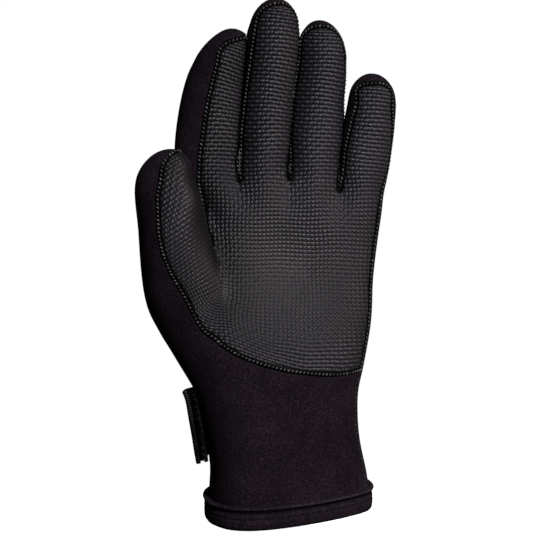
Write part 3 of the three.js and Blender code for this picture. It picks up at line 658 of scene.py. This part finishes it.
def weaveMap(points):
    # the weave's own map, counted in cells
    fingers = fingerCells(points, palmMap(points))
    x, z = points[:, 0], points[:, 2]
    # round the ball of the thumb the palm's rows turn upwards and run along the thumb
    px, pz = thumbFold["pivot"]
    pivot = np.array([[px, -15, pz]])
    side, along, reach = aroundLine(np.concatenate([pivot, points]), thumbLine)
    turn = math.radians(thumbFold["turn"])
    onThumb = smoothStep(0, 22, (z - pz) * math.cos(turn) - (x - px) * math.sin(turn))
    dx = (x - px) * (1 - onThumb) + (side[1:] - side[0]) * onThumb
    dz = (z - pz) * (1 - onThumb) + (along[1:] - along[0]) * onThumb
    inward = dx * math.cos(turn) + dz * math.sin(turn)
    upward = dz * math.cos(turn) - dx * math.sin(turn)
    angle = np.arctan2(dz, dx) % (2 * math.pi)
    isFan = upward < 0
    fan = np.where(isFan, 1.5 * math.pi - angle, 0.5 * math.pi - turn) * thumbFold["fanRadius"]
    radius = np.where(isFan, np.hypot(dx, dz), -inward)
    start = palmMap(pivot)[0]
    straightDown = [np.full(len(x), px), np.zeros(len(x)), pz - np.maximum(radius, 0)]
    below = palmMap(np.stack(straightDown, axis=1))
    v = np.where(radius > 0, below[:, 1], start[1] - radius / gripLook["palmCell"])
    u = start[0] - (fan + np.maximum(upward, 0)) / gripLook["thumbCell"]
    thumb = np.stack([u, v], axis=1)
    # how far each point belongs to the thumb's map, and how the threads lie there
    turned = np.degrees(np.arctan2(z - pz, x - px)) % 360
    share = 1 - smoothStep(thumbFold["from"], thumbFold["to"], turned)
    share = np.where(z > pz, np.where(x < lineAt(foldLine, z), 1.0, 0.0), share)
    stretched = smoothStep(0.45, 0.85, reach[1:]) * (side[1:] > 0) * share * smoothStep(106, 122, z)
    onPalm = gripLook["palmLay"] - gripLook["palmLayDrop"] * smoothStep(96, 116, z)
    onPalm = onPalm * (1 - smoothStep(152, 178, z)) * smoothStep(76, 92, z)
    thumbLay = gripLook["thumbLay"] + gripLook["thumbLayRise"] * smoothStep(-4, 14, upward)
    lay = onPalm * (1 - share) + share * thumbLay
    share = share[:, None]
    cells = fingers * (1 - share) + thumb * share
    wander = np.stack([
        np.sin(z / 3.7 + 1.3 * np.sin(x / 6.1)) + 0.8 * np.sin(x / 9.3 - z / 12.1),
        np.sin(x / 4.3 + 1.1 * np.sin(z / 7.9)) + 0.8 * np.sin(z / 10.7 + x / 14.3),
    ], axis=1)
    return cells + gripLook["wander"] * wander, stretched, lay


def weaveHeight(cells, lay):
    # the same relief as the material's, worked out at each point
    across, along = np.sin(np.pi * cells[:, 0]), np.sin(np.pi * cells[:, 1])

    def thread(wave, other, first, second, lineShare):
        shape = [f + (s - f) * lay for f, s in zip(gripLook[first], gripLook[second])]
        fall, lift, level, height = shape
        cut = 1 - gripLook["rowLine"] * lineShare * (1 - np.abs(other))
        lifted = np.clip(other * np.sign(wave) * lift + level, 0, 1)
        return np.abs(wave) ** fall * lifted * height * cut

    dashes = thread(along, across, "long", "short", lay)
    upright = thread(across, -along, "short", "long", 1 - lay)
    level = np.minimum(lay, 1 - lay)
    diamond = (1 - 2 * across ** 2) * (1 - 2 * along ** 2) * level * gripLook["diamond"]
    return np.clip(np.maximum(dashes, upright) + diamond, 0, 1)


def rimDistance(mesh, points):
    # each point's distance in mm to the panel's cut edge
    kinds = [set() for _ in range(len(mesh.vertices))]
    for polygon in mesh.polygons:
        for index in polygon.vertices:
            kinds[index].add(polygon.material_index)
    edge = [i for i, kind in enumerate(kinds) if len(kind) == 2]
    tree = KDTree(len(edge))
    for i in edge:
        tree.insert(points[i], i)
    tree.balance()
    outer = np.array([0 in kind for kind in kinds])
    distance = np.array([tree.find(p)[2] if out else 0 for p, out in zip(points, outer)])
    return distance, outer


def smoothPanel(name):
    bm = cleanCopy("palm_grip")
    markOuter(bm)
    return subdivide(newPiece(bm, name), 2)


def edgeProfile(distance):
    # how far the panel stands out near its sewn edge, in mm
    look, roll = gripLook, gripLook["rollWidth"]
    height = -look["edgeDrop"] * hump(distance, look["edgeWidth"])
    height += look["rollHeight"] * hump(distance - roll * 0.5, roll * 0.35)
    height -= look["grooveDepth"] * hump(distance - roll - look["grooveGap"], look["grooveWidth"])
    height += look["swell"] * smoothStep(roll + 0.4, look["swellWidth"], distance)
    return height


def paintedGripShading(points, calm):
    # how much painted shade darkens the rubber at each point or, below 0, how much painted light
    # lightens it
    look = gripLook
    x, z = points[:, 0] / mm, points[:, 2] / mm
    shade = ovalSpot(x, z, look["hollow"]) * smoothStep(-30, -22, points[:, 1] / mm)
    onFingers = look["palmRightShare"] + (1 - look["palmRightShare"]) * smoothStep(140, 175, z)
    shade -= look["rightLight"] * onFingers * points[:, 0] / (look["rightReach"] * mm)
    shade += look["calmShade"] * calm
    crease = hump(x - lineAt(foldLine, z) + 1, look["creaseWidth"])
    shade += look["creaseShade"] * crease * smoothStep(96, 110, z) * smoothStep(178, 160, z)
    shade -= look["thumbLightShare"] * ovalSpot(x, z, look["thumbLight"])
    return shade


def makeGripPanel():
    piece = smoothPanel("palmGrip")
    mesh = piece.data
    bm = bmesh.new()
    bm.from_mesh(mesh)
    outerEdges = {e for f in bm.faces if f.material_index == 0 for e in f.edges}
    bmesh.ops.subdivide_edges(bm, edges=list(outerEdges), cuts=3, use_grid_fill=True)
    bm.to_mesh(mesh)
    bm.free()
    writePoints(mesh, settleFingers(readPoints(mesh) / mm) * mm)
    points = readPoints(mesh)
    normals = readPoints(mesh, "normal")
    distance, outer = rimDistance(mesh, points)
    distance = distance / mm
    cells, stretched, lay = weaveMap(points / mm)
    x, z, roll = points[:, 0] / mm, points[:, 2] / mm, gripLook["rollWidth"]
    calm = ovalSpot(x, z, gripLook["calm"])
    edge = smoothStep(roll + 0.3, roll + 1.0, distance) * outer
    edge *= 1 - 0.8 * stretched
    edge *= 1 - gripLook["calmShare"] * calm
    edge *= 1 - gripLook["foldCalmShare"] * ovalSpot(x, z, gripLook["foldCalm"])
    offset = edgeProfile(distance) + gripLook["relief"] * (weaveHeight(cells, lay) - 0.5) * edge
    points += normals * (offset * outer * mm)[:, None]
    writePoints(mesh, points)
    addAttribute(mesh, "edge", edge)
    addAttribute(mesh, "lay", lay)
    addAttribute(mesh, "seam", 1 - smoothStep(roll + 0.2, roll + 0.9, distance))
    addAttribute(mesh, "hollow", paintedGripShading(points, calm))
    addMap(mesh, "weave", cells)
    return piece


def isOnFinger(place):
    # the line between palm and fingers runs where no cut shows; place in metres
    if place.x < -44 * mm and place.y < -19 * mm and place.z < 190 * mm:
        return False
    return place.z > 180 * mm and place.y > -22 * mm - max(0, place.z - 0.21) * 0.7


def cutFingers(piece):
    # the fingers become a piece of their own
    fingers = piece.copy()
    fingers.data = piece.data.copy()
    fingers.name = fingers.data.name = "fingerGrip"
    bpy.context.collection.objects.link(fingers)
    for part, keepsFingers in ((piece, False), (fingers, True)):
        bm = bmesh.new()
        bm.from_mesh(part.data)
        away = [f for f in bm.faces if isOnFinger(f.calc_center_median()) != keepsFingers]
        bmesh.ops.delete(bm, geom=away, context="FACES")
        bm.to_mesh(part.data)
        bm.free()
        finishPiece(part, ["palm_grip"], [gripRubber, gripRubber])
    return piece, fingers


palmGrip, fingerGrip = cutFingers(makeGripPanel())
print("grip made", len(palmGrip.data.polygons), len(fingerGrip.data.polygons))


# sewing

def spacedAlong(points, normals, pitch, isClosed):
    # even places along a path: point, direction and normal
    points, normals = np.array(points), np.array(normals)
    if isClosed:
        points = np.vstack([points, points[:1]])
        normals = np.vstack([normals, normals[:1]])
    length = np.concatenate([[0], np.cumsum(np.linalg.norm(np.diff(points, axis=0), axis=1))])
    count = max(2, int(length[-1] / pitch))
    at = (np.arange(count) + 0.5) * length[-1] / count
    place = np.stack([np.interp(at, length, points[:, k]) for k in range(3)], axis=1)
    normal = np.stack([np.interp(at, length, normals[:, k]) for k in range(3)], axis=1)
    step = 0.6 * pitch
    ahead = np.stack([np.interp(at + step, length, points[:, k]) for k in range(3)], axis=1)
    behind = np.stack([np.interp(at - step, length, points[:, k]) for k in range(3)], axis=1)
    return [(Vector(p), Vector(d).normalized(), Vector(n).normalized())
            for p, d, n in zip(place, ahead - behind, normal)]


def addStitches(bm, places, look):
    for place, direction, normal in places:
        inward = normal.cross(direction).normalized()
        turn = math.radians(look["turn"] + random.uniform(-9, 9))
        long = (direction * math.cos(turn) + inward * math.sin(turn)).normalized()
        wide = normal.cross(long).normalized()
        up = long.cross(wide)
        centre = place + inward * look["inset"] * mm + normal * look["raise"] * mm
        size = [
            look[key] * mm * random.uniform(0.75, 1.2) / 2 for key in ("length", "width", "height")
        ]
        frameOf = Matrix((
            (long.x * size[0], wide.x * size[1], up.x * size[2], centre.x),
            (long.y * size[0], wide.y * size[1], up.y * size[2], centre.y),
            (long.z * size[0], wide.z * size[1], up.z * size[2], centre.z),
            (0, 0, 0, 1),
        ))
        bmesh.ops.create_uvsphere(bm, u_segments=6, v_segments=4, radius=1, matrix=frameOf)


def makeStitchRows(name, rows, look, thread, isClosed=False):
    # a piece of stitches, in rows that each follow a path with its normals
    bm = bmesh.new()
    for places, normals in rows:
        addStitches(bm, spacedAlong(places, normals, look["pitch"] * mm, isClosed), look)
    return finishPiece(newPiece(bm, name), [], [thread])


def panelEdge():
    # the grip panel's outline with its outward normals, in order round the panel
    guide = smoothPanel("outlineGuide")
    bm = bmesh.new()
    bm.from_mesh(guide.data)
    bpy.data.objects.remove(guide)
    following = {}
    for edge in bm.edges:
        if len({f.material_index for f in edge.link_faces}) != 2:
            continue
        face = next(f for f in edge.link_faces if f.material_index == 0)
        for loop in face.loops:
            if loop.edge == edge:
                following[loop.vert] = loop.link_loop_next.vert
    outline = [min(following, key=lambda v: v.co.z)]
    while following[outline[-1]] != outline[0]:
        outline.append(following[outline[-1]])
    places, normals = [], []
    for vert in outline:
        outward = sum((f.normal for f in vert.link_faces if f.material_index == 0), Vector())
        places.append(vert.co[:])
        normals.append(outward.normalized()[:])
    bm.free()
    return settleFingers(np.array(places) / mm) * mm, normals


seamLook = {
    "pitch": 2.05, "length": 1.65, "width": 1.0, "height": 0.9,
    "turn": 48, "inset": 0.65, "raise": 0.18,
}
seamStitches = makeStitchRows("seamStitches", [panelEdge()], seamLook, seamThread, True)
print("seam stitches", len(seamStitches.data.polygons))

farOff = 120  # mm, well outside the glove


def wrapPath(tree, height, lean, centre, angles):
    # a line round the wrist on the outer side of a piece, height mm up it
    places, normals = [], []
    for angle in angles:
        turn = math.radians(angle)
        outside = Vector((math.cos(turn), -math.sin(turn), 0))
        z = height * mm
        hit = None
        for _ in range(3):
            start = Vector((centre[0] * mm, centre[1] * mm, z)) + outside * farOff * mm
            hit, normal, _, _ = tree.ray_cast(start, -outside)
            if hit is None:
                break
            z = (height + lean * hit.y / mm) * mm
        if hit is not None:
            places.append(hit[:])
            normals.append(normal[:])
    return places, normals


def treeOf(piece):
    bm = bmesh.new()
    bm.from_mesh(piece.data)
    tree = BVHTree.FromBMesh(bm)
    bm.free()
    return tree


# the hem

hemLook = {
    "centre": (-0.5, 5),  # of the wrist opening, in mm
    "radius": 38,
    "lean": 0.275,        # how the hem rises towards the back
    # mm up the band, where it is cut finer
    "rows": [1.5, 3.0, 3.5, 4.0, 4.5, 5.0, 6.3, 7.0, 7.5, 8.0, 8.6, 9.0],
    # painted shade in the groove and in the furrow under the ridge; painted highlight on the ridge,
    # and on the lips partly wear along the edge and partly painted highlight
    "grooveAt": 4.0, "grooveDepth": 0.45, "grooveWidth": 0.6, "grooveShade": 0.30,
    "lipHeight": 0.35, "lipWidth": 1.5, "lipLight": 0.22,
    "ridgeAt": 9.0, "ridgeHeight": 0.45, "ridgeWidth": 0.7, "ridgeLight": 0.25,
    "furrowDrop": 1.5, "furrowDepth": 0.9, "furrowWidth": 0.6, "furrowShade": 0.30,
    # how the sewing gathers the band
    "puckerAt": 1.2, "puckerDepth": 0.30, "puckerWidth": 2.2, "puckerPitch": 5.2,
    "stitches": {
        "pitch": 2.7, "length": 1.7, "width": 0.7, "height": 0.5,
        "turn": 0, "inset": 0, "raise": 0.0,
    },
}


def makeHem():
    look = hemLook
    bm = cleanCopy("cuff_hem")
    for row in look["rows"]:
        bmesh.ops.bisect_plane(
            bm, geom=bm.verts[:] + bm.edges[:] + bm.faces[:], dist=0.001 * mm,
            plane_co=(0, 0, row * mm), plane_no=(0, -look["lean"], 1),
        )
    piece = subdivide(newPiece(bm, "cuffHem"), 2, False)
    mesh = piece.data
    points = readPoints(mesh)
    normals = readPoints(mesh, "normal")
    up = (points[:, 2] - look["lean"] * points[:, 1]) / mm
    radial = points[:, :2] - np.array(look["centre"]) * mm
    outside = (radial * normals[:, :2]).sum(axis=1) > 0
    rise = up - look["grooveAt"]
    groove = look["grooveDepth"] * hump(rise, look["grooveWidth"])
    lips = look["lipHeight"] * hump(rise, look["lipWidth"])
    around = np.arctan2(radial[:, 1], radial[:, 0]) * look["radius"] / look["puckerPitch"]
    pucker = look["puckerDepth"] * np.sin(2 * math.pi * around + 2 * np.sin(3 * around))
    pucker = pucker * hump(up - look["puckerAt"], look["puckerWidth"])
    seamRise = up - look["ridgeAt"]
    ridge = look["ridgeHeight"] * hump(seamRise, look["ridgeWidth"])
    furrow = look["furrowDepth"] * hump(seamRise + look["furrowDrop"], look["furrowWidth"])
    points += normals * ((lips - groove + pucker + ridge - furrow) * outside * mm)[:, None]
    writePoints(mesh, points)
    # painted highlight on the lips and ridge, painted shade in the groove and furrow
    paintedShading = lips * look["lipLight"] - groove * look["grooveShade"]
    paintedShading = paintedShading + ridge * look["ridgeLight"] - furrow * look["furrowShade"]
    addAttribute(mesh, "paintedShading", paintedShading * outside)
    return finishPiece(piece, ["cuff_hem"], [hemCloth])


hem = makeHem()
hemLine = wrapPath(
    treeOf(hem), hemLook["grooveAt"], hemLook["lean"], hemLook["centre"], range(0, 360, 3),
)
hemStitches = makeStitchRows("hemStitches", [hemLine], hemLook["stitches"], darkThread, True)
print("hem made", len(hem.data.polygons))


# the strap and its tapes

strapLook = {
    "edgeRound": 0.7, "tapeRound": 0.4,
    "endRise": 2.2,   # mm by which the free end reaches above its solid
    "tapeDrop": 1.4,  # mm by which the tapes reach below theirs there
    "low": 29.0, "high": 60.0, "lowLean": 0.215, "highLean": 0.065,  # the two stitch lines
    "centre": (-4, 3), "radius": 34,
    "wovenLean": 0.14,
    "stitches": {
        "pitch": 3.0, "length": 2.3, "width": 0.6, "height": 0.5,
        "turn": 0, "inset": 0, "raise": 0.05,
    },
    "binding": {
        "angles": [-184.6, -182.0], "foot": 25.5, "head": 63.5,
        "pitch": 1.1, "length": 1.6, "width": 0.6, "height": 0.5,
        "turn": 80, "inset": 0, "raise": 0.05,
    },
}


def stretchEnd(points, drop=0.0):
    # the strap's free end reaches a little further up, and its tape down; points in mm
    stretched = points.copy()
    x, z = points[:, 0], points[:, 2]
    move = strapLook["endRise"] * smoothStep(42, 60, z) - drop * smoothStep(38, 28, z)
    stretched[:, 2] += smoothStep(-37, -43, x) * move
    return stretched


def makeBand(node, name, width, drop=0.0):
    # a strap or tape with rounded edges
    bm = cleanCopy(node)
    roundEdges(bm, sharpEdges(bm, 50), width)
    piece = subdivide(newPiece(bm, name), 1)
    writePoints(piece.data, stretchEnd(readPoints(piece.data) / mm, drop) * mm)
    return piece


def makeStrap():
    look = strapLook
    piece = makeBand("wrist_strap", "wristStrap", look["edgeRound"])
    points = readPoints(piece.data) / mm
    cx, cy = look["centre"]
    angle = np.arctan2(-(points[:, 1] - cy), points[:, 0] - cx)
    angle = np.where(angle > 0.4, angle - 2 * math.pi, angle)
    woven = [angle * look["radius"], points[:, 2] - look["wovenLean"] * points[:, 1]]
    addMap(piece.data, "woven", np.stack(woven, axis=1))
    return finishPiece(piece, ["wrist_strap"], [strapWebbing])


def bindingRow(turn):
    # the fine overlock up the strap's free end
    look = strapLook["binding"]
    places, normals = [], []
    for height in np.arange(look["foot"], look["head"], 1.0):
        path = wrapPath(strapTree, height, 0, strapLook["centre"], [turn])
        places += path[0]
        normals += path[1]
    return places, normals


def makeTapePiece(node, name, material):
    piece = makeBand(node, name, strapLook["tapeRound"], strapLook["tapeDrop"])
    return finishPiece(piece, [node], [material])


strap = makeStrap()
strapTree = treeOf(strap)
strapLines = [
    wrapPath(
        strapTree, strapLook[row], strapLook[row + "Lean"], strapLook["centre"],
        range(-24, -184, -2),
    )
    for row in ("low", "high")
]
strapStitches = makeStitchRows("strapStitches", strapLines, strapLook["stitches"], darkThread)
bindingRows = [bindingRow(turn) for turn in strapLook["binding"]["angles"]]
endBinding = makeStitchRows("strapBinding", bindingRows, strapLook["binding"], bindingThread)
hookTape = makeTapePiece("hook_tape", "hookTape", hookPile)
loopTape = makeTapePiece("loop_tape", "loopTape", loopPile)

pileLook = {
    "tuftSize": 50,
    "hooks": {"count": 1100, "length": 1.3, "radius": 0.10, "lean": 0.25},
    "loops": {"count": 1500, "length": 1.5, "radius": 0.08, "lean": 0.9},
}


def makePile(name, base, look, away):
    # short fibres that stand on a tape; away is the side that they are left off
    faces = [p for p in base.data.polygons if p.normal.dot(away) < 0.35]
    areas = [p.area for p in faces]
    whole = bmesh.new()
    for _ in range(look["count"] // pileLook["tuftSize"]):
        tuft = bmesh.new()
        for face in random.choices(faces, areas, k=pileLook["tuftSize"]):
            corners = [base.data.vertices[i].co for i in face.vertices]
            shares = [random.random() ** 0.7 for _ in corners]
            foot = sum((c * s for c, s in zip(corners, shares)), Vector()) / sum(shares)
            lean = Vector([random.gauss(0, look["lean"]) for _ in range(3)])
            upward = (face.normal + lean).normalized()
            length = look["length"] * mm * random.uniform(0.5, 1.1)
            place = Matrix.Translation(foot + upward * length * 0.4)
            bmesh.ops.create_cone(
                tuft, cap_ends=True, segments=3, radius1=look["radius"] * mm,
                radius2=look["radius"] * 0.5 * mm, depth=length,
                matrix=place @ upward.to_track_quat("Z", "Y").to_matrix().to_4x4(),
            )
        part = bpy.data.meshes.new("tuft")
        tuft.to_mesh(part)
        tuft.free()
        whole.from_mesh(part)
        bpy.data.meshes.remove(part)
    return finishPiece(newPiece(whole, name), [], [pileThread])


hookFibres = makePile("hookFibres", hookTape, pileLook["hooks"], Vector((-1, 0, 0)))
loopFibres = makePile("loopFibres", loopTape, pileLook["loops"], Vector((1, 0, 0)))
print("strap made", len(strap.data.polygons))


# the seam down the wrist's outer edge

wristSeamLook = {
    "foot": 10, "head": 67, "inFront": 7,  # mm up, and forward of the outermost line
    "stitches": {
        "pitch": 2.2, "length": 2.3, "width": 0.75, "height": 0.6,
        "turn": 48, "inset": 0, "raise": 0.05,
    },
}


def wristSeamPath():
    tree = treeOf(shell)
    inward = Vector((-1, 0, 0))
    places, normals = [], []
    for z in np.linspace(wristSeamLook["foot"], wristSeamLook["head"], 40):
        hits = [tree.ray_cast(Vector((farOff, y, z)) * mm, inward)[0] for y in range(-10, 30)]
        outermost = max((hit for hit in hits if hit is not None), key=lambda hit: hit.x)
        start = Vector((farOff * mm, outermost.y - wristSeamLook["inFront"] * mm, z * mm))
        hit, normal, _, _ = tree.ray_cast(start, inward)
        if hit is not None:
            places.append(hit[:])
            normals.append(normal[:])
    return places, normals


wristSeam = makeStitchRows(
    "wristSeamStitches", [wristSeamPath()], wristSeamLook["stitches"], wristThread,
)
print("wrist seam made")


# floor, light and camera

stageLook = {
    "floorRadius": 0.7, "floorDrop": 1.5,  # metres, and mm below the hem
    "floorTones": [(0.2, (0.86, 0.86, 0.86)), (0.8, (0.92, 0.92, 0.92))],
    "surround": 0.06,  # what the pale room adds to the lamps' light
    "target": (0, 0, 0.13),
    "lamps": {
        "keyLight": {
            "place": (0.95, -1.95, 1.3), "power": 72, "width": 0.5, "colour": (1, 1, 1),
        },
        "fillLight": {
            "place": (1.9, -0.8, 0.3), "power": 12, "width": 0.8, "colour": (1.0, 0.84, 0.78),
        },
    },
}


def makeFloor():
    floorZ = cadBounds[0].z - stageLook["floorDrop"] * mm
    bm = bmesh.new()
    bmesh.ops.create_circle(
        bm, cap_ends=True, segments=96, radius=stageLook["floorRadius"],
        matrix=Matrix.Translation((0, 0, floorZ)),
    )
    bmesh.ops.recalc_face_normals(bm, faces=bm.faces)
    floor = newPiece(bm, "floor")
    board = NodeBoard("paleFloor")
    place = board.add("ShaderNodeTexCoord").outputs["Object"]
    colour = board.ramp(board.noise(place, 40, 3.0), stageLook["floorTones"])
    floor.data.materials.append(board.finish(
        Base_Color=colour, Roughness=0.9, Specular_IOR_Level=0.2,
        Emission_Color=(1, 1, 1, 1), Emission_Strength=1.0,
    ))
    floor.visible_diffuse = floor.visible_glossy = False  # the lamps alone light the glove


def makeRoom():
    world = bpy.data.worlds.new("studio")
    world.use_nodes = True
    nodes, links = world.node_tree.nodes, world.node_tree.links
    surround, backdrop = nodes["Background"], nodes.new("ShaderNodeBackground")
    for node, strength in ((surround, stageLook["surround"]), (backdrop, 1.0)):
        node.inputs["Color"].default_value = (1, 1, 1, 1)
        node.inputs["Strength"].default_value = strength
    chosen = nodes.new("ShaderNodeMixShader")
    links.new(nodes.new("ShaderNodeLightPath").outputs["Is Camera Ray"], chosen.inputs[0])
    links.new(surround.outputs[0], chosen.inputs[1])
    links.new(backdrop.outputs[0], chosen.inputs[2])
    links.new(chosen.outputs[0], nodes["World Output"].inputs["Surface"])
    bpy.context.scene.world = world
    bpy.context.scene.view_settings.view_transform = "Standard"


def addSoftbox(name, look):
    data = bpy.data.lights.new(name, "AREA")
    data.shape = "SQUARE"
    data.size = look["width"]
    data.energy = look["power"]
    data.color = look["colour"]
    lamp = bpy.data.objects.new(name, data)
    bpy.context.collection.objects.link(lamp)
    lamp.location = look["place"]
    lamp.rotation_mode = "QUATERNION"
    ahead = Vector(stageLook["target"]) - Vector(look["place"])
    lamp.rotation_quaternion = ahead.to_track_quat("-Z", "Y")


makeFloor()
makeRoom()
for lampName, lampLook in stageLook["lamps"].items():
    addSoftbox(lampName, lampLook)

# mm, except away, in metres, and the sensor's width
cameraLook = {"x": -11.2, "z": 122.7, "away": 3.0, "span": 266.5, "sensor": 36}
cameraData = bpy.data.cameras.new("frontCamera")
cameraData.sensor_width = cameraLook["sensor"]
cameraData.lens = cameraLook["sensor"] * cameraLook["away"] / (cameraLook["span"] * mm)
cameraData.clip_start, cameraData.clip_end = 0.1, 20
camera = bpy.data.objects.new("frontCamera", cameraData)
bpy.context.collection.objects.link(camera)
camera.location = (cameraLook["x"] * mm, -cameraLook["away"], cameraLook["z"] * mm)
camera.rotation_euler = (math.radians(90), 0, 0)
bpy.context.scene.camera = camera

print("finished")
